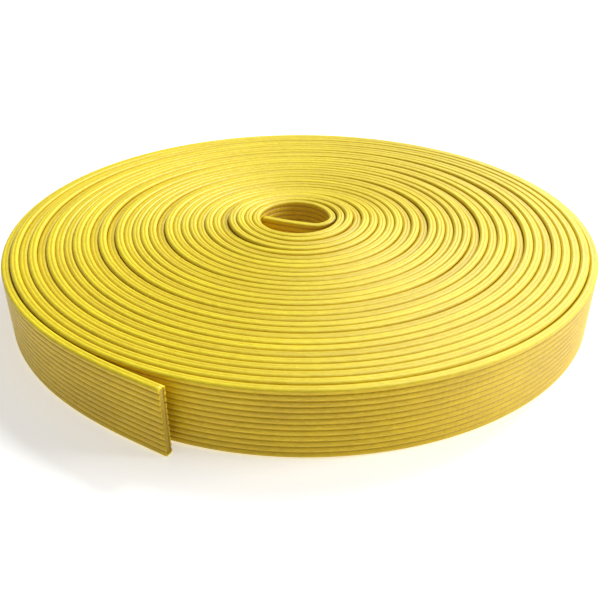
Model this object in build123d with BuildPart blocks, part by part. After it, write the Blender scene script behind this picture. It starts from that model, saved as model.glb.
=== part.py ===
from build123d import *
from collections import namedtuple
from math import cos, pi, radians, sin
import os

# A roll of martial arts belt: one long stitched cotton strap, wound flat and lying on its edge.
# Millimetres. The roll's axis is +Z and the origin is on the surface it lies on.
# +Y points to the back of the roll and +X to its right. Angles are degrees about +Z from +X.

# ---------------------------------------------------------------- driving dimensions

# the strap
belt_width = 40.0  # from fold to fold, upright in the roll
cover_thickness = 0.75  # one layer of the folded cloth
seam_gap = 0.4  # between the cloth's two raw edges, on the inner face
ply_count = 4  # layers of stiff cloth in the core
ply_thickness = 0.6
ply_clearance = 0.1  # beside each layer of the core
stitch_rows = 11
thread_width = 0.5
thread_height = 0.25  # how far a thread stands out of the cloth

# the roll
full_turns = 30
hole_radius = 23.0  # to the innermost turn's face, at the back
turn_gap = 0.38  # mean space between one turn's threads and the next
hole_offset = 4.4  # the hole's centre from the roll's, because one side is wound tighter
hole_direction = 151.7  # where the tighter side faces

# the free outer end
tail_start = 217.4  # where it leaves the roll
tail_segments = 4
tail_segment_length = 27.0
bend_gap = 0.6  # between two pieces of strap that hinge on each other

# the free inner end, which crosses the hole
bend_start = 15.0  # where the strap leaves the wall of the hole
bend_radius = 11.0
bend_sweep = 120.0
flap_radius = 160.0
flap_sweep = 12.2

# ---------------------------------------------------------------- sizes that follow

core_height = belt_width - 2 * cover_thickness
cavity_depth = ply_count * ply_thickness + (ply_count + 1) * ply_clearance
cloth_face = cavity_depth / 2 + cover_thickness  # from the strap's middle to its cloth face
thread_face = cloth_face + thread_height
turn_pitch = 2 * thread_face + turn_gap
row_pitch = belt_width / (stitch_rows + 1)
middle_row = (stitch_rows + 1) // 2

first_radius = hole_radius + cloth_face  # of the innermost half turn's middle line
centre_drift = hole_offset / full_turns  # a turn, towards the loose side
left_step = (turn_pitch - centre_drift) / 2  # growth of a half turn that ends on the loose side
right_step = (turn_pitch + centre_drift) / 2  # and of one that ends on the tight side
seam_line = hole_direction - 180  # half turns meet on this line through the axis

Arc = namedtuple("Arc", "centre radius start stop")  # runs counter-clockwise


def towards(angle):
    """The unit vector at an angle about +Z."""
    return Vector(cos(radians(angle)), sin(radians(angle)))


def point(arc, angle, offset=0.0):
    """A point on an arc, or at an offset outwards from it."""
    return arc.centre + towards(angle) * (arc.radius + offset)


def arc_after(arc, radius, sweep):
    """The arc that goes on smoothly from another's end."""
    centre = arc.centre + towards(arc.stop) * (arc.radius - radius)
    return Arc(centre, radius, arc.stop, arc.stop + sweep)


def arc_before(arc, radius, sweep):
    """The arc that leads smoothly into another's start."""
    centre = arc.centre + towards(arc.start) * (arc.radius - radius)
    return Arc(centre, radius, arc.start - sweep, arc.start)


def trimmed(arc, at_start, at_stop):
    """The arc with these lengths of it left out at its two ends."""
    turn = 180 / (pi * arc.radius)
    return Arc(arc.centre, arc.radius, arc.start + at_start * turn, arc.stop - at_stop * turn)


# ---------------------------------------------------------------- the strap's middle line

# Half turns about centres that step along the seam line, so that each runs smoothly into the next.
# The last few turns are centred on the origin and the first ones on the hole.
half_turns = [Arc(towards(hole_direction) * hole_offset, first_radius, bend_start, seam_line + 180)]
last_angle = tail_start + 360 * full_turns
while half_turns[-1].stop < last_angle:
    step = right_step if len(half_turns) % 2 else left_step
    angle_left = min(180, last_angle - half_turns[-1].stop)
    half_turns.append(arc_after(half_turns[-1], half_turns[-1].radius + step, angle_left))

inner_bend = arc_before(half_turns[0], bend_radius, bend_sweep)
inner_flap = arc_before(inner_bend, flap_radius, flap_sweep)

# The tail opens out along its length: its curvature falls as 1 - t * t from its start to its tip.
tail = []
for number in range(tail_segments):
    t_start, t_stop = number / tail_segments, (number + 1) / tail_segments
    mean_square = (t_stop**3 - t_start**3) * tail_segments / 3
    radius = half_turns[-1].radius / (1 - mean_square)
    before = tail[-1] if tail else half_turns[-1]
    tail.append(arc_after(before, radius, tail_segment_length * 180 / (pi * radius)))

half_gap = bend_gap / 2
wound_path = [trimmed(inner_bend, half_gap, 0)] + half_turns[:-1]
wound_path += [trimmed(half_turns[-1], 0, half_gap)]
flap_path = [trimmed(inner_flap, 0, half_gap)]
tail_paths = [[trimmed(arc, half_gap, half_gap)] for arc in tail[:-1]]
tail_paths += [[trimmed(tail[-1], half_gap, 0)]]


# ---------------------------------------------------------------- sections of the strap


def strip(path, inside, outside, height):
    """The plan of a strip along a path, between two offsets from it, drawn at a height."""
    with BuildSketch(Plane.XY.offset(height)) as plan:
        with BuildLine():
            for arc in path:
                CenterArc(arc.centre, arc.radius + outside, arc.start, arc.stop - arc.start)
            Line(point(path[-1], path[-1].stop, outside), point(path[-1], path[-1].stop, inside))
            for arc in reversed(path):
                CenterArc(arc.centre, arc.radius + inside, arc.start, arc.stop - arc.start)
            Line(point(path[0], path[0].start, inside), point(path[0], path[0].start, outside))
        make_face()
    return plan.sketch


def ply_offsets(ply):
    """The two faces of a layer of the core, counted outwards from 1."""
    inside = -cavity_depth / 2 + ply_clearance + (ply - 1) * (ply_thickness + ply_clearance)
    return inside, inside + ply_thickness


def row_bottom(row):
    """The lower edge of the thread in a row of stitches, counted upwards from 1."""
    return row * row_pitch - thread_width / 2


needle_side = (cloth_face, thread_face)  # the needle's thread shows on the outer face
bobbin_side = (-thread_face, -cloth_face)  # and the bobbin's on the inner face


def cover_solid(path):
    """The cloth folded round the core, open at its cut ends and along the seam."""
    outline = strip(path, -cloth_face, cloth_face, 0)
    cavity = strip(path, -cavity_depth / 2, cavity_depth / 2, cover_thickness)
    seam_bottom = middle_row * row_pitch - seam_gap / 2
    seam = strip(path, -cloth_face, -cavity_depth / 2, seam_bottom)
    with BuildPart() as cover:
        extrude(outline, amount=belt_width, dir=(0, 0, 1))
        extrude(cavity, amount=core_height, dir=(0, 0, 1), mode=Mode.SUBTRACT)
        extrude(seam, amount=seam_gap, dir=(0, 0, 1), mode=Mode.SUBTRACT)
    return cover.part


def finish(part, name):
    """Names a finished piece and writes it."""
    part.label = name
    export_step(part, f"parts/{name}.step")


os.makedirs("parts", exist_ok=True)

# ---------------------------------------------------------------- the wound strap

finish(cover_solid(wound_path), "wound_cover")

for ply in range(1, ply_count + 1):
    plan = strip(wound_path, *ply_offsets(ply), cover_thickness)
    with BuildPart() as core_ply:
        extrude(plan, amount=core_height, dir=(0, 0, 1))
    finish(core_ply.part, f"wound_core_ply_{ply}")

for row in range(1, stitch_rows + 1):
    for side, name in ((needle_side, "needle"), (bobbin_side, "bobbin")):
        plan = strip(wound_path, *side, row_bottom(row))
        with BuildPart() as thread:
            extrude(plan, amount=thread_width, dir=(0, 0, 1))
        finish(thread.part, f"wound_{name}_thread_{row:02d}")

# ---------------------------------------------------------------- the two free ends

free_ends = {f"tail_{number + 1}": path for number, path in enumerate(tail_paths)}
free_ends["inner_flap"] = flap_path

for name, path in free_ends.items():
    finish(cover_solid(path), f"{name}_cover")

    with BuildPart() as core:
        for ply in range(1, ply_count + 1):
            extrude(strip(path, *ply_offsets(ply), cover_thickness), amount=core_height, dir=(0, 0, 1))
    finish(core.part, f"{name}_core_plies")

    with BuildPart() as threads:
        for row in range(1, stitch_rows + 1):
            for side in (needle_side, bobbin_side):
                extrude(strip(path, *side, row_bottom(row)), amount=thread_width, dir=(0, 0, 1))
    finish(threads.part, f"{name}_threads")
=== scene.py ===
# %% [markdown]
# # A roll of martial arts belt
#
# The real object is one long strap: cotton cloth folded round a few layers of stiff cloth, quilted with
# rows of stitches that run its whole length, and wound flat into a roll that lies on its edge.
# The engineering model gives the size, the hinges and the moving bodies. This lesson dresses it. The strap
# is modelled once as a short straight piece, repeated with an Array modifier, and laid along the spiral
# with a Curve modifier, which is how a long ribbon is usually made in Blender.

# %% Load the frame
import math
import random

import bpy
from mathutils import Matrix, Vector


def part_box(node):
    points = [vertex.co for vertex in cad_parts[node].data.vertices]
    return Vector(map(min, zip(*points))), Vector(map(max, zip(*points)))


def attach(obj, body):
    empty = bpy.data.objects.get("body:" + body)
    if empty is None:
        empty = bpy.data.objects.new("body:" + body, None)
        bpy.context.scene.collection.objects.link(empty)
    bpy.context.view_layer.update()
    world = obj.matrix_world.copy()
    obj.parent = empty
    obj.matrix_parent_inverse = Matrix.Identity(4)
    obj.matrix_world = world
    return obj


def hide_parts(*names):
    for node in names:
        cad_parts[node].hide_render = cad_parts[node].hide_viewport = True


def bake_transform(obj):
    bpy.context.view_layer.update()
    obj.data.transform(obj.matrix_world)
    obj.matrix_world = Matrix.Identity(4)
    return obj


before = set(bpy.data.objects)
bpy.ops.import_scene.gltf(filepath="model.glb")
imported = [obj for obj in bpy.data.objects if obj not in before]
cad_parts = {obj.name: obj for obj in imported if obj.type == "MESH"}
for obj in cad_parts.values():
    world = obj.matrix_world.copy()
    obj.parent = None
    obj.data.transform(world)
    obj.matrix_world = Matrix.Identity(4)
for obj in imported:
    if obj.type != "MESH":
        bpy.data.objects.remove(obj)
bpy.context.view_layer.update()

# %% [markdown]
# ## Sizes
#
# The strap's width is read from the engineering model. The rest are the sizes that a belt maker would
# name: how many rows of stitches, how thick the strap is at a rib and at a row, and how the roll is wound.

# %% Sizes of the strap and of the roll
MM = 0.001
belt_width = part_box("wound_cover")[1][2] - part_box("wound_cover")[0][2]
stitch_rows = 11
row_pitch = belt_width / (stitch_rows + 1)
crest = 2.5 * MM  # half the thickness on a rib
plump_fold = 2.62 * MM  # half the thickness at the folded edges, which bulge and touch
fold_groove = 0.34 * MM  # depth of the line between the two layers of a fold
valley = 1.62 * MM  # half the thickness on a row of stitches
fold_rise = 0.40 * row_pitch  # from the folded edge to the thickest place of the edge rib
stitch_length = 3.1 * MM

full_turns = 30
turn_pitch = 5.28 * MM  # from one turn to the next
first_radius = 25.2 * MM  # to the middle of the innermost turn
hole_offset = 4.4 * MM  # the hole's centre from the roll's, because one side is wound tighter
hole_direction = 151.7  # degrees about +Z, where the tighter side faces
tail_start = 217.4  # degrees about +Z, where the free outer end leaves the roll
tail_segments = 4
tail_segment_length = 27.0 * MM
bend_start, bend_radius, bend_sweep = 15.0, 11.0 * MM, 120.0  # the inner end leaves the wall of the hole
flap_radius, flap_sweep = 160.0 * MM, 12.2  # and runs almost straight across it
print("belt width", round(belt_width / MM, 2), "mm, rows", round(row_pitch / MM, 2), "mm apart")

# %% [markdown]
# ## The spiral
#
# A wound strap is close to a spiral, and a spiral can be drawn with half circles whose centres step to and
# fro along one line. Each half circle then runs smoothly into the next. The free inner end is two arcs that
# lead into the first half circle, and the free outer end is a chain of ever flatter arcs.

# %% The arcs of the strap's middle line
def towards(angle):
    return Vector((math.cos(math.radians(angle)), math.sin(math.radians(angle)), 0))


def arc_after(arc, radius, sweep):
    centre = arc[0] + towards(arc[3]) * (arc[1] - radius)
    return centre, radius, arc[3], arc[3] + sweep


def arc_before(arc, radius, sweep):
    centre = arc[0] + towards(arc[2]) * (arc[1] - radius)
    return centre, radius, arc[2] - sweep, arc[2]


def arc_length(arc):
    return arc[1] * math.radians(arc[3] - arc[2])


drift = hole_offset / full_turns
steps = ((turn_pitch - drift) / 2, (turn_pitch + drift) / 2)
half_turns = [(towards(hole_direction) * hole_offset, first_radius, bend_start, hole_direction)]
last_angle = tail_start + 360 * full_turns
while half_turns[-1][3] < last_angle:
    radius = half_turns[-1][1] + steps[len(half_turns) % 2]
    half_turns.append(arc_after(half_turns[-1], radius, min(180, last_angle - half_turns[-1][3])))
inner_bend = arc_before(half_turns[0], bend_radius, bend_sweep)
inner_flap = arc_before(inner_bend, flap_radius, flap_sweep)

tail = []
for number in range(tail_segments):
    low, high = number / tail_segments, (number + 1) / tail_segments
    flatter = 1 - (high**3 - low**3) * tail_segments / 3
    radius = half_turns[-1][1] / flatter
    sweep = math.degrees(tail_segment_length / radius)
    tail.append(arc_after(tail[-1] if tail else half_turns[-1], radius, sweep))

arcs = [inner_flap, inner_bend] + half_turns + tail
flap_end = arc_length(inner_flap)
wall_start = flap_end + arc_length(inner_bend)
strap_length = sum(arc_length(arc) for arc in arcs)
tail_root = strap_length - tail_segments * tail_segment_length
print("strap length", round(strap_length, 3), "m in", len(half_turns) / 2, "turns")

# %% [markdown]
# ## How the turns lie
#
# No roll is wound perfectly. Some turns stand a little proud of their neighbours and some have slipped
# down, and each one wanders slowly up and down as it goes round. Smooth random knots along the strap's
# length give that: the strap always rests on the floor or a little above it, never below.

# %% The rise of the strap's lower edge above the floor
rise_random = random.Random(17)
sectors = 4  # places round the roll where a turn's height is chosen
sector_share = (0.9, 0.14, 0.9, 0.10)  # how much of the rise is used at each of them
sector_phase = (0.0, 1.9, 4.0, 2.8)  # which turns have sunk there
sunk_group = 2.7  # turns from one sunken group to the next
most_rise = 2.0 * MM
least_share, own_share = 0.06, 0.12  # of that rise: what every turn has, and how far each one strays
centre_lift = 3.0 * MM  # how far the innermost turns have crept up


def smooth(t):
    t = min(max(t, 0.0), 1.0)
    return t * t * (3 - 2 * t)


def sunk_share(turn, sector):
    """How deep a turn has sunk between its neighbours, from 0 to 1, in groups of two or three turns."""
    wander = 0.9 * math.sin(turn * 0.7)
    wave = math.sin(turn * 2 * math.pi / sunk_group + sector_phase[sector % sectors] + wander)
    return max(0.0, wave) ** 1.3


def chosen_rise(turn, sector):
    """A turn's rise, which differs most at the roll's two sides."""
    sunk = sunk_share(turn, sector)
    share = sector_share[sector]
    own = rise_random.uniform(-own_share, own_share) * (0.4 + share)
    return most_rise * min(1.0, max(0.0, least_share + share * (1 - sunk) + own))


knot_places = [divmod(index, sectors) for index in range((full_turns + 4) * sectors)]
rise_knots = [chosen_rise(turn, sector) for turn, sector in knot_places]
sunk_knots = [sunk_share(turn, sector) for turn, sector in knot_places]


def between_knots(knots, angle):
    knot, part = divmod(max(angle, 0.0) * sectors / 360, 1)
    return knots[int(knot)] + (knots[int(knot) + 1] - knots[int(knot)]) * smooth(part)


def rise_at(angle):
    """How far above the floor the strap stands, from the angle that it has been wound through.

    The first turns have no waves of their own, the last turn and a quarter comes down to the floor, and the
    lift at the hole dies out over seven turns.
    """
    height = between_knots(rise_knots, angle)
    to_end = (last_angle - angle) / 360
    from_start = smooth((angle - 200) / 500)
    lift = centre_lift * smooth((angle + 105) / 200) * (1 - smooth(angle / 2500))
    return height * smooth(to_end / 1.25) * from_start + lift


# %% [markdown]
# ## The middle line as a curve
#
# The line is drawn as a curve object through many points. A smooth Bezier line would need fewer, but a
# close row of points on the arcs keeps the distance along the line exact, and the stitches depend on it.
# The line is only a guide for the Curve modifier, and it is removed at the end.

# %% Draw the middle line
line_points = []
for arc in arcs:
    step = min(2.5 * MM, arc[1] * math.radians(5))
    count = max(2, math.ceil(arc_length(arc) / step))
    for index in range(count):
        angle = arc[2] + (arc[3] - arc[2]) * index / count
        spot = arc[0] + towards(angle) * arc[1]
        line_points.append((spot.x, spot.y, rise_at(angle)))
spot = arcs[-1][0] + towards(arcs[-1][3]) * arcs[-1][1]
line_points.append((spot.x, spot.y, 0.0))

line_data = bpy.data.curves.new("strap_middle_line", "CURVE")
line_data.dimensions = "3D"
line_data.twist_mode = "Z_UP"
line_spline = line_data.splines.new("POLY")
line_spline.points.add(len(line_points) - 1)
for control, place in zip(line_spline.points, line_points):
    control.co = (*place, 1)
middle_line = bpy.data.objects.new("strap_middle_line", line_data)
bpy.context.collection.objects.link(middle_line)
drawn_length = line_spline.calc_length()
print("middle line", len(line_points), "points,", round(drawn_length, 3), "m")

# %% [markdown]
# ## The strap's section
#
# Cut across, the strap is a row of plump ribs between the rows of stitches. It is drawn as a ring of
# vertices. The faces that lie hidden between two turns need only their edges, so there the ribs in the
# middle are left out.

# %% Draw the section
edge_parts = (0.62, 0.82, 0.94, 1)  # where the edge rib has vertices, in shares of the row pitch
rib_parts = (0.08, 0.24, 0.5, 0.76, 0.92, 1)  # and where each rib on the face has them
fold_angles = (72, 56, 42, 29, 17, 7, 0, -7, -17, -29, -42, -56, -72)


def half_thickness(height, fold=crest):
    """Half of the strap's thickness at a height above its lower edge, away from the folds."""
    edge = min(height, belt_width - height)
    if edge < row_pitch:
        bulge = math.cos(max(0.0, edge - fold_rise) / (row_pitch - fold_rise) * math.pi / 2) ** 0.8
        return valley + (fold - valley) * bulge
    return valley + (crest - valley) * abs(math.sin(math.pi * edge / row_pitch)) ** 0.58


def face_heights(ribbed):
    """Heights of the section's vertices on one face, from the lower fold to the upper one."""
    edge = [fold_rise] + [row_pitch * part for part in edge_parts]
    if ribbed:
        ribs = range(1, stitch_rows)
        middle = [row_pitch * (rib + part) for rib in ribs for part in rib_parts][:-1]
    else:
        beside_row = [row_pitch * 1.12, row_pitch * 1.5]
        middle = beside_row + [belt_width - height for height in reversed(beside_row)]
    return edge + middle + [belt_width - height for height in reversed(edge)]


def fold_profile(fold):
    """The folded edge from the inner face to the outer one, as (across, depth below its crest)."""
    profile = []
    for degrees in fold_angles:
        share = math.sin(math.radians(degrees))
        round_over = fold_rise * (1 - math.cos(math.radians(degrees)))
        profile.append((fold * share, round_over + fold_groove * math.exp(-((share / 0.2) ** 2))))
    return profile


def section_ring(ribbed, fold=crest):
    """The section as a closed ring of (across, up), with the inner face first."""
    heights = face_heights(ribbed)
    inner = [(half_thickness(height, fold), height) for height in heights]
    upper = [(across, belt_width - depth) for across, depth in fold_profile(fold)]
    outer = [(-half_thickness(height, fold), height) for height in reversed(heights)]
    lower = [(-across, depth) for across, depth in fold_profile(fold)]
    return inner + upper + outer + lower


print("section of", len(section_ring(True)), "vertices ribbed and", len(section_ring(False)), "plain")

# %% [markdown]
# ## One helper that lays a strap along the spiral
#
# A circle of vertices is shaped into the section and extruded by one short step. An Array modifier
# repeats the step, and a Curve modifier lays the result along the middle line. Before it is bent, every
# point's place on the flat strap is stored in an attribute, so that the cloth's weave can follow it.

# %% Helpers for straight pieces
def deselect():
    if bpy.context.object and bpy.context.object.mode != "OBJECT":
        bpy.ops.object.mode_set(mode="OBJECT")
    bpy.ops.object.select_all(action="DESELECT")


def apply_modifier(obj, name):
    deselect()
    obj.select_set(True)
    bpy.context.view_layer.objects.active = obj
    bpy.ops.object.modifier_apply(modifier=name)


def array(obj, count, step, merge=True):
    """Repeats a piece by a fixed step, and joins each copy to the one before it."""
    modifier = obj.modifiers.new("repeat", "ARRAY")
    modifier.count = count
    modifier.use_relative_offset = False
    modifier.use_constant_offset = True
    modifier.constant_offset_displace = step
    modifier.use_merge_vertices = merge
    modifier.merge_threshold = 0.00001
    apply_modifier(obj, "repeat")


def angle_at(distance):
    """The angle that the strap has been wound through at a distance along it."""
    for arc in arcs:
        if distance <= arc_length(arc):
            break
        distance -= arc_length(arc)
    return arc[2] + math.degrees(distance / arc[1])


def store_flat_place(obj):
    """Keeps each vertex's place on the straight strap, and how sunken its turn is there, which the cloth
    uses for painted shade.

    Both attributes are added before either is fetched, because adding one makes Blender forget the other.
    """
    obj.data.attributes.new("flat_place", "FLOAT_VECTOR", "POINT")
    obj.data.attributes.new("sunken", "FLOAT", "POINT")
    flat, sunken = obj.data.attributes["flat_place"], obj.data.attributes["sunken"]
    known = {}
    for vertex in obj.data.vertices:
        flat.data[vertex.index].vector = vertex.co
        place = round(vertex.co.x, 4)
        if place not in known:
            angle = angle_at(place)
            from_tail = (last_angle - angle) / 360  # in turns
            known[place] = between_knots(sunk_knots, angle) * smooth(from_tail - 0.7)
        sunken.data[vertex.index].value = known[place]


def lay_along_spiral(obj):
    modifier = obj.modifiers.new("wind", "CURVE")
    modifier.object = middle_line
    modifier.deform_axis = "POS_X"
    apply_modifier(obj, "wind")


# %% [markdown]
# ## A length of strap and its cut ends
#
# The strap is folded cloth, so a cut end shows the cloth's thickness round an opening, with the core
# inside. The end ring is extruded without moving, squeezed to make the edge of the cloth, and extruded
# inwards. The Solidify modifier could give the whole cover a thickness, but only the cut ends show it.

# %% Helpers for a length of strap
ring_reach = 0.02 * MM  # vertices this near to a place belong to its ring
cut_squeeze = (1, 0.70, 0.955)  # a cut end's opening against its outside, along, across and up
cut_steps = (0.5, 1.2)  # how far the opening goes in, in mm


def select_ring(obj, place):
    """Selects the open ring of vertices at a distance along a straight piece."""
    bpy.ops.object.mode_set(mode="EDIT")
    bpy.ops.mesh.select_mode(type="VERT")
    bpy.ops.mesh.select_all(action="DESELECT")
    bpy.ops.object.mode_set(mode="OBJECT")
    for vertex in obj.data.vertices:
        vertex.select = abs(vertex.co.x - place) < ring_reach
    bpy.ops.object.mode_set(mode="EDIT")
    bpy.ops.mesh.select_mode(type="EDGE")


def turn_in_cut_end(strap, place, inwards):
    """Gives a cut end the thickness of its folded cloth, and closes it a little way in."""
    deselect()
    strap.select_set(True)
    bpy.context.view_layer.objects.active = strap
    select_ring(strap, place)
    bpy.ops.mesh.extrude_edges_move()
    middle = (place, 0, belt_width / 2)
    bpy.ops.transform.resize(value=cut_squeeze, center_override=middle)
    for depth in cut_steps:
        bpy.ops.mesh.extrude_edges_move(TRANSFORM_OT_translate={"value": (inwards * depth * MM, 0, 0)})
    bpy.ops.mesh.edge_face_add()
    bpy.ops.mesh.select_all(action="SELECT")
    bpy.ops.mesh.normals_make_consistent(inside=False)
    bpy.ops.object.mode_set(mode="OBJECT")


def extruded_ring(name, ring, start, stop, ring_step):
    """A closed ring of (across, up) drawn out between two distances along the straight strap."""
    count = max(1, round((stop - start) / ring_step))
    step = (stop - start) / count
    deselect()
    bpy.ops.mesh.primitive_circle_add(vertices=len(ring), fill_type="NOTHING")
    strap = bpy.context.object
    strap.name = strap.data.name = name
    for vertex, (across, up) in zip(strap.data.vertices, ring):
        vertex.co = (start, across, up)
    bpy.ops.object.mode_set(mode="EDIT")
    bpy.ops.mesh.select_all(action="SELECT")
    bpy.ops.mesh.extrude_region_move(TRANSFORM_OT_translate={"value": (step, 0, 0)})
    bpy.ops.mesh.select_all(action="SELECT")
    bpy.ops.mesh.normals_make_consistent(inside=False)
    bpy.ops.object.mode_set(mode="OBJECT")
    array(strap, count, (step, 0, 0))
    return strap


def strap_piece(name, start, stop, ring_step, ribbed=True, fold=crest, cut_ends=()):
    """A length of strap between two distances along the middle line."""
    strap = extruded_ring(name, section_ring(ribbed, fold), start, stop, ring_step)
    for end in cut_ends:
        turn_in_cut_end(strap, end, 1 if end == start else -1)
    return strap


def finish_strap(strap, material):
    store_flat_place(strap)
    lay_along_spiral(strap)
    deselect()
    strap.select_set(True)
    bpy.context.view_layer.objects.active = strap
    bpy.ops.object.shade_smooth()
    strap.data.materials.clear()
    strap.data.materials.append(material)
    print(strap.name, len(strap.data.polygons), "faces")
    return strap


# %% [markdown]
# ## Shader arithmetic
#
# Materials are easier to read as formulas. A small class wraps a socket, so that + - * and / add the Math
# nodes. Every other node comes from one method, which takes its type, its settings and its sockets.

# %% A socket that can be calculated with
class Field:
    def __init__(self, nodes, socket):
        self.nodes = nodes
        self.socket = socket

    def math(self, operation, *others):
        sockets = dict(enumerate((self, *others)))
        return self.nodes.add("ShaderNodeMath", {"operation": operation}, sockets)

    def __add__(self, other):
        return self.math("ADD", other)

    def __sub__(self, other):
        return self.math("SUBTRACT", other)

    def __mul__(self, other):
        return self.math("MULTIPLY", other)

    def __truediv__(self, other):
        return self.math("DIVIDE", other)

    def __radd__(self, other):
        return self + other

    def __rmul__(self, other):
        return self * other

    def __rsub__(self, other):
        return (self * -1) + other


class Nodes:
    """The node tree of one material."""

    def __init__(self, name):
        self.material = bpy.data.materials.new(name)
        self.material.use_nodes = True
        self.tree = self.material.node_tree
        self.shader = self.tree.nodes["Principled BSDF"]

    def feed(self, socket, value):
        if isinstance(value, Field):
            self.tree.links.new(value.socket, socket)
        else:
            socket.default_value = value

    def add(self, kind, settings=None, sockets=None, outputs=(0,)):
        """Adds a node of a type. Its settings come first, then its sockets, by name or by number."""
        node = self.tree.nodes.new(kind)
        for key, value in (settings or {}).items():
            if key == "stops":
                for element, (place, colour) in zip(node.color_ramp.elements, value):
                    element.position = place
                    element.color = (*colour, 1)
            else:
                setattr(node, key, value)
        for key, value in (sockets or {}).items():
            self.feed(node.inputs[key], value)
        fields = [Field(self, node.outputs[number]) for number in outputs]
        return fields if len(fields) > 1 else fields[0]

    def finish(self, sockets):
        """Feeds the material's shader."""
        for key, value in sockets.items():
            self.feed(self.shader.inputs[key], value)
        return self.material


# %% [markdown]
# ## The cloth
#
# The belt's cover is dyed cotton twill: fine diagonal lines, a soft sheen, and a colour that varies a
# little from yarn to yarn and along the strap. The folded edges carry a lighter yellow as painted light and
# the faces a deeper one as painted shade, and the rows of stitches, the line between a fold's two layers
# and the turns that have sunk are darkened further with painted shade. The pattern reads the flat place
# stored above, so it runs along the strap and round its folded edges.

# %% Helpers for patterns on the flat strap
def flat_place(nodes):
    """The place on the flat strap, whole and as along, across and up."""
    place = nodes.add("ShaderNodeAttribute", {"attribute_name": "flat_place"}, outputs=[1])
    return place, *nodes.add("ShaderNodeSeparateXYZ", sockets={0: place}, outputs=range(3))


def noise(nodes, place, stretch, scale, detail=2.0, roughness=0.6):
    """Noise on the flat strap, drawn out or squeezed by a vector."""
    scaled = nodes.add("ShaderNodeVectorMath", {"operation": "MULTIPLY"}, {0: place, 1: stretch})
    sockets = {"Vector": scaled, "Scale": scale, "Detail": detail, "Roughness": roughness}
    return nodes.add("ShaderNodeTexNoise", sockets=sockets)


# %% Helpers for colours and bumps
def two_colours(nodes, factor, low, high, places=(0.0, 1.0)):
    """A colour that goes from low to high with the factor, between two places on its scale."""
    stops = list(zip(places, (low, high)))
    return nodes.add("ShaderNodeValToRGB", {"stops": stops}, {0: factor})


def mixed(nodes, factor, base, other):
    """One colour laid over another, by a factor."""
    return nodes.add("ShaderNodeMix", {"data_type": "RGBA"}, {0: factor, 6: base, 7: other}, outputs=[2])


def tinted(nodes, factor, base, tint):
    """A colour deepened by a tint, by a factor."""
    settings = {"data_type": "RGBA", "blend_type": "MULTIPLY"}
    return nodes.add("ShaderNodeMix", settings, {0: factor, 6: base, 7: (*tint, 1)}, outputs=[2])


def bumped(nodes, height, strength, distance):
    sockets = {"Strength": strength, "Distance": distance, "Height": height}
    return nodes.add("ShaderNodeBump", sockets=sockets)


def clamped(value):
    return value.math("MAXIMUM", 0.0).math("MINIMUM", 1.0)


# %% Yarns and colours of the cover cloth
twill_pitch, weft_pitch = 0.62 * MM, 0.42 * MM
# One cloth: the faces get deeper colours as painted shade, the folded edges lighter ones as painted light.
shaded_face_dark = (0.62, 0.415, 0.002)
shaded_face_light = (0.82, 0.585, 0.004)
lit_fold_dark = (0.75, 0.575, 0.002)
lit_fold_light = (0.91, 0.765, 0.006)
edge_band = 2.2 * MM  # from the folded edge to where its lighter colour, painted light, ends
edge_fade = 1.2 * MM
seam_reach = 0.45 * MM  # from the line between the fold's two layers
yarn_range = (0.36, 0.64)  # the part of the noise that the colours use
# painted shade for the turns that have sunk between their neighbours
sunken_painted_shade = (0.80, 0.72, 0.35)
# painted shade in the groove between a fold's two layers
seam_painted_shade = (0.84, 0.76, 0.45)
weave_tint = (0.94, 0.88, 0.60)
# painted shade for the rows of stitches, where the cloth dips between ribs
row_painted_shade = (0.58, 0.43, 0.20)
print("twill lines", round(twill_pitch / MM, 2), "mm apart")
print("stitches", round(stitch_length / MM, 2), "mm long")


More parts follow.
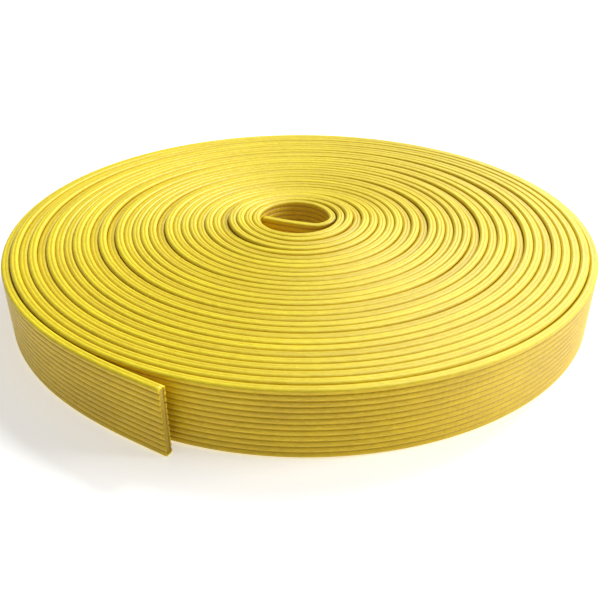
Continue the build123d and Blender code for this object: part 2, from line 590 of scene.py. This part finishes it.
# %% Cover cloth
def cover_cloth(name):
    nodes = Nodes(name)
    place, along, across, up = flat_place(nodes)
    width = up + across * 0.8
    twill = ((along + width) * (2 * math.pi / twill_pitch)).math("SINE")
    weft = (width * (2 * math.pi / weft_pitch)).math("SINE")
    weave = twill * 0.32 + weft * 0.16 + 0.5

    # rows of stitches, away from the two folded edges
    above, below = 0.6 * row_pitch, belt_width - 0.6 * row_pitch
    on_face = up.math("GREATER_THAN", above) * up.math("LESS_THAN", below)
    from_row = (up * (math.pi / row_pitch)).math("SINE").math("ABSOLUTE")
    in_row = (1 - from_row * 2.2).math("MAXIMUM", 0.0) * on_face
    pull = (along * (math.pi / stitch_length)).math("SINE").math("ABSOLUTE")
    pucker = (1 - from_row) * (1 - pull) * on_face

    # the folded edges, and the line between a fold's two layers
    from_middle = (up - belt_width / 2).math("ABSOLUTE")
    near_edge = (from_middle - (belt_width / 2 - edge_band)) / edge_fade
    on_crest = (1 - across.math("ABSOLUTE") / plump_fold) * 3.4
    fold = clamped(near_edge) * clamped(on_crest)
    seam = (1 - across.math("ABSOLUTE") / seam_reach).math("MAXIMUM", 0.0) * fold

    slow = noise(nodes, place, (0.4, 1, 1), 30.0, 3.0)
    slub = noise(nodes, place, (0.22, 1.0, 1.0), 1000.0, 2.0, 0.7)
    puff = noise(nodes, place, (1, 1, 1), 240.0, 3.0, 0.55)
    yarn = slow * 0.5 + slub * 0.5
    # painted shade on the faces, painted light on the folded edges
    face = two_colours(nodes, yarn, shaded_face_dark, shaded_face_light, yarn_range)
    colour = mixed(nodes, fold, face, two_colours(nodes, yarn, lit_fold_dark, lit_fold_light, yarn_range))
    sunken = nodes.add("ShaderNodeAttribute", {"attribute_name": "sunken"}, outputs=[2])
    # painted shade on the folds of turns that have sunk
    colour = tinted(nodes, sunken * fold * 0.55, colour, sunken_painted_shade)
    # painted shade along the groove between a fold's two layers
    colour = tinted(nodes, seam * 0.45, colour, seam_painted_shade)
    colour = tinted(nodes, (1 - weave) * 0.55, colour, weave_tint)
    # painted shade along the rows of stitches
    colour = tinted(nodes, in_row * 0.7, colour, row_painted_shade)
    height = weave * 0.5 + puff * 2.4 + slub * 0.6 - pucker * 1.5
    return nodes.finish({
        "Base Color": colour,
        "Roughness": 0.36 + slub * 0.12,
        "Normal": bumped(nodes, height, 0.6, 0.2 * MM),
        "Sheen Weight": 0.12,
        "Sheen Roughness": 0.35,
        "Sheen Tint": (1.0, 0.95, 0.55, 1),
        "Specular IOR Level": 0.5,
    })


cloth = cover_cloth("yellow cotton cover")
print(cloth.name, len(cloth.node_tree.nodes), "nodes")

# %% [markdown]
# ## The thread
#
# The sewing thread is dyed like the cloth and twisted hard, so it has less sheen; its colour is made
# deeper than the cloth's as painted shade of the grooves that the rows lie in. A fine noise on Object
# coordinates is enough for its fibres, because a stitch is too small to show a direction.

# %% Thread
def thread_finish(name):
    nodes = Nodes(name)
    where = nodes.add("ShaderNodeTexCoord", outputs=[3])
    fibres = noise(nodes, where, (1, 1, 1), 1500.0)
    return nodes.finish({
        # the thread's colours are darkened as painted shade of the rows' grooves
        "Base Color": two_colours(nodes, fibres, (0.34, 0.22, 0.002), (0.50, 0.35, 0.005)),
        "Roughness": 0.6 + fibres * 0.2,
        "Normal": bumped(nodes, fibres, 0.5, 0.08 * MM),
        "Specular IOR Level": 0.2,
    })


thread_material = thread_finish("yellow sewing thread")
print(thread_material.name, len(thread_material.node_tree.nodes), "nodes")

# %% [markdown]
# ## The wound turns
#
# The innermost turns show their ribbed face in the hole and the outermost turn shows it all round, so
# those are ribbed. Between them only the folded edges can be seen.

# %% Lay the wound strap
inner_detail_end = wall_start + 0.40  # the innermost turns are ribbed up to here
outer_detail_start = tail_root - 1.27  # and the outermost one from here
root_blend = tail_root - 0.012  # where the tail begins to bend
flap_root_end = flap_end + 0.006  # where the flap has met the wall of the hole
flap_middle = flap_end * 0.45
inner_step, outer_step, tail_step = 1.6 * MM, 2.5 * MM, 2.0 * MM
middle_steps = (2.6 * MM, 3.2 * MM, 3.6 * MM, 4.0 * MM)  # coarser as the turns get wider

inner_length = strap_piece("inner_turns", flap_root_end, inner_detail_end, inner_step)
wound_pieces = [finish_strap(inner_length, cloth)]
middle_length = (outer_detail_start - inner_detail_end) / len(middle_steps)
for number, ring_step in enumerate(middle_steps):
    start = inner_detail_end + number * middle_length
    stop = start + middle_length
    piece = strap_piece(f"middle_turns_{number + 1}", start, stop, ring_step, False, plump_fold)
    wound_pieces.append(finish_strap(piece, cloth))
outer_turn = finish_strap(strap_piece("outer_turn", outer_detail_start, root_blend, outer_step), cloth)
wound_pieces.append(outer_turn)

for piece in wound_pieces:
    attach(piece, "roll")

# %% [markdown]
# ## The free ends
#
# Both ends of the strap bend. The tail is made as five lengths that meet in the middle of the hinged
# bodies. Only the last length is carried on its body; the others stay where they are drawn and do not blend
# from one body to the next. Separate stiff lengths would open at every hinge. The inner end, across the
# hole, is made in the same way.

# %% Lay the free ends
tail_marks = [root_blend] + [tail_root + (k + 0.5) * tail_segment_length for k in range(tail_segments)]
tail_marks.append(strap_length)
tail_bodies = ["roll"] + [f"tail_{k + 1}" for k in range(tail_segments)]


def middle_point(distance):
    """A point of the middle line at a distance along it, on the floor."""
    for arc in arcs:
        if distance <= arc_length(arc) + 1e-9:
            return arc[0] + towards(arc[2] + math.degrees(distance / arc[1])) * arc[1]
        distance -= arc_length(arc)
    return arcs[-1][0] + towards(arcs[-1][3]) * arcs[-1][1]


spare = 4 * MM  # a distance in from each end of a length, read only by calls whose results are not used


def ride_tail(piece, number):
    """Carries the last length of the tail on its body; the others are left where they are drawn."""
    start, stop = tail_marks[number], tail_marks[number + 1]
    if number < tail_segments:
        middle_point(start + spare)
        middle_point(stop - spare)
        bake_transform(piece)
    else:
        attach(piece, tail_bodies[number])


def ride_flap_root(piece):
    """Leaves the flap's root where it is drawn, between the free flap and the roll."""
    middle_point(flap_middle)
    middle_point(flap_root_end)
    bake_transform(piece)


free_pieces = []
tip_cut = [()] * tail_segments + [(strap_length,)]
for number in range(len(tail_bodies)):
    start, stop = tail_marks[number], tail_marks[number + 1]
    length = strap_piece(f"tail_strap_{number + 1}", start, stop, tail_step, cut_ends=tip_cut[number])
    piece = finish_strap(length, cloth)
    ride_tail(piece, number)
    free_pieces.append(piece)

flap_tip = finish_strap(strap_piece("flap_tip", 0.0, flap_middle, inner_step, cut_ends=(0.0,)), cloth)
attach(flap_tip, "inner_flap")
flap_root = finish_strap(strap_piece("flap_root", flap_middle, flap_root_end, inner_step), cloth)
ride_flap_root(flap_root)
free_pieces += [flap_tip, flap_root]

# %% [markdown]
# ## The core at the cut ends
#
# Where the strap is cut, the edges of its stiff inner layers show inside the folded cover. Each layer is
# pressed into the same wave as the ribs, so each is drawn as a thin wavy ring and repeated like the cover.
# Scissors never leave them quite level, so they end at slightly different lengths.

# %% Core cloth
def core_finish(name):
    nodes = Nodes(name)
    grain = noise(nodes, flat_place(nodes)[0], (1, 1, 1), 1800.0, 3.0)
    return nodes.finish({
        "Base Color": two_colours(nodes, grain, (0.42, 0.28, 0.02), (0.70, 0.53, 0.09)),
        "Roughness": 0.85 + grain * 0.1,
        "Normal": bumped(nodes, grain, 0.8, 0.2 * MM),
    })


core_cloth = core_finish("core cloth")
print(core_cloth.name, len(core_cloth.node_tree.nodes), "nodes")

# %% Core layers in the free ends
ply_count = 4
ply_half = 0.26 * MM
ply_edge = 1.5 * MM  # from the strap's folded edge to a layer's edge
ply_spread = 0.62  # the layers' share of the strap's thickness
ply_waves = 72  # steps across a layer
ply_step = 3.0 * MM
ply_hidden = 2 * MM  # a layer ends this far inside the piece that covers it


def ply_ring(layer):
    """One layer of the core as a closed ring of (across, up)."""
    share = ((layer + 0.5) / ply_count * 2 - 1) * ply_spread
    ply_width = belt_width - 2 * ply_edge
    heights = [ply_edge + ply_width * index / ply_waves for index in range(ply_waves + 1)]
    inner = [(half_thickness(height) * share + ply_half, height) for height in heights]
    outer = [(half_thickness(height) * share - ply_half, height) for height in reversed(heights)]
    return inner + outer


def ply_piece(name, start, stop, layer):
    piece = extruded_ring(name, ply_ring(layer), start, stop, ply_step)
    for place in (start, stop):
        select_ring(piece, place)
        bpy.ops.mesh.edge_face_add()
        bpy.ops.object.mode_set(mode="OBJECT")
    return finish_strap(piece, core_cloth)


ply_random = random.Random(5)
for layer in range(ply_count):
    short = ply_random.uniform(0.1, 0.55) * MM
    hidden_end = tail_marks[-2] + ply_hidden
    tail_ply = ply_piece(f"tail_core_ply_{layer + 1}", hidden_end, strap_length - short, layer)
    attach(tail_ply, tail_bodies[-1])
    flap_ply = ply_piece(f"flap_core_ply_{layer + 1}", short, flap_middle - ply_hidden, layer)
    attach(flap_ply, "inner_flap")
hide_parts(*[f"tail_{k + 1}_core_plies" for k in range(tail_segments)])
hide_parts("inner_flap_core_plies")

# %% [markdown]
# ## The stitches
#
# Each row is a line of lockstitches. The needle's thread lies on the outer face and the bobbin's thread on
# the inner one, and both dive into the cloth between one stitch and the next. One plump stitch is modelled
# and repeated along the row. Only the rows that can be seen are made: on the outermost turn, on the wall
# of the hole and on both faces of the free ends.

# %% A row of stitches
outside, inside = -1, 1
faces = ((outside, "needle"), (inside, "bobbin"))
thread_radius = 0.27 * MM
thread_rise = 0.02 * MM  # from the cloth to the middle of the thread


def stitch_row(name, start, stop, side, rows):
    """Rows of stitches on one face, between two distances along the strap."""
    count = max(1, round((stop - start) / stitch_length))
    step = (stop - start) / count
    deselect()
    bpy.ops.mesh.primitive_uv_sphere_add(segments=6, ring_count=4, radius=1)
    stitches = bpy.context.object
    stitches.name = stitches.data.name = name
    bpy.ops.object.mode_set(mode="EDIT")
    bpy.ops.transform.rotate(value=math.radians(90), orient_axis="Y", center_override=(0, 0, 0))
    size = (step * 0.53, thread_radius, thread_radius)
    bpy.ops.transform.resize(value=size, center_override=(0, 0, 0))
    place = (start + step / 2, side * (valley + thread_rise), rows[0] * row_pitch)
    bpy.ops.transform.translate(value=place)
    bpy.ops.object.mode_set(mode="OBJECT")
    if count > 1:
        array(stitches, count, (step, 0, 0), merge=False)
    if len(rows) > 1:
        array(stitches, len(rows), (0, 0, row_pitch), merge=False)
    finish_strap(stitches, thread_material)
    return stitches


every_row = range(1, stitch_rows + 1)
wall_detail_end = flap_end + 0.21  # the hole's wall shows its stitches up to here
outer_marks = (outer_detail_start + 0.02, root_blend)
for row in every_row:
    needle = stitch_row(f"needle_thread_row_{row:02d}", *outer_marks, outside, [row])
    bobbin = stitch_row(f"bobbin_thread_row_{row:02d}", flap_root_end, wall_detail_end, inside, [row])
    for thread, kind in ((needle, "needle"), (bobbin, "bobbin")):
        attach(thread, "roll")
        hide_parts(f"wound_{kind}_thread_{row:02d}")

for number, body in enumerate(tail_bodies):
    start, stop = tail_marks[number], tail_marks[number + 1]
    for side, kind in faces:
        threads = stitch_row(f"tail_{kind}_threads_{number + 1}", start, stop, side, every_row)
        ride_tail(threads, number)
        if number:
            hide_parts(f"{body}_threads")

for side, kind in faces:
    tip = stitch_row(f"flap_tip_{kind}_threads", 0.0, flap_middle, side, every_row)
    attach(tip, "inner_flap")
    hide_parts("inner_flap_threads")
    ride_flap_root(stitch_row(f"flap_root_{kind}_threads", flap_middle, flap_root_end, side, every_row))

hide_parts("wound_cover", *[f"wound_core_ply_{layer + 1}" for layer in range(ply_count)])
for number in range(tail_segments):
    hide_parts(f"tail_{number + 1}_cover")
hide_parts("inner_flap_cover")

# %% [markdown]
# ## Floor, light and camera
#
# A pale floor lies under an even sky. A big soft key light stands behind the roll on the right and draws
# the two bright fans across the turns. A low soft light on the right brightens the roll's side there.

# %% Floor
deselect()
bpy.ops.mesh.primitive_plane_add(size=12, location=(0, 0, -0.0002))
floor = bpy.context.object
floor.name = "studio_floor"
floor_finish = {
    "Base Color": (0.93, 0.93, 0.93, 1),
    "Roughness": 0.9,
    "Emission Color": (1, 1, 1, 1),
    "Emission Strength": 0.42,
}
floor.data.materials.append(Nodes("pale floor").finish(floor_finish))

# %% Sky
world = bpy.data.worlds.new("studio")
world.use_nodes = True
sky = world.node_tree.nodes["Background"].inputs
sky["Color"].default_value = (1, 1, 1, 1)
sky["Strength"].default_value = 0.32
bpy.context.scene.world = world


# %% Lights
def area_light(name, angle, elevation, distance, size, power):
    """A square soft light aimed at the roll, placed by its angle about +Z and its elevation."""
    data = bpy.data.lights.new(name, "AREA")
    data.size = size
    data.energy = power
    light = bpy.data.objects.new(name, data)
    bpy.context.collection.objects.link(light)
    flat = distance * math.cos(math.radians(elevation))
    light.location = towards(angle) * flat + Vector((0, 0, distance * math.sin(math.radians(elevation))))
    light.rotation_euler = (-light.location).to_track_quat("-Z", "Y").to_euler()


area_light("key_softbox", angle=55, elevation=44, distance=3.0, size=1.3, power=94)
area_light("side_softbox", angle=0, elevation=26, distance=3.0, size=1.2, power=56)

# %% Camera
camera_data = bpy.data.cameras.new("camera")
camera_data.sensor_width = 36
camera_data.lens = 43.87
camera = bpy.data.objects.new("camera", camera_data)
bpy.context.collection.objects.link(camera)
camera.location = (-0.0003, -0.4443, 0.2372)
looks_down = 30.14  # degrees
camera.rotation_euler = (math.radians(90 - looks_down), 0, 0)
bpy.context.scene.camera = camera
bpy.context.scene.view_settings.view_transform = "Standard"
bpy.context.scene.view_settings.look = "None"

# %% Remove the guide line and finish
bpy.data.objects.remove(middle_line)
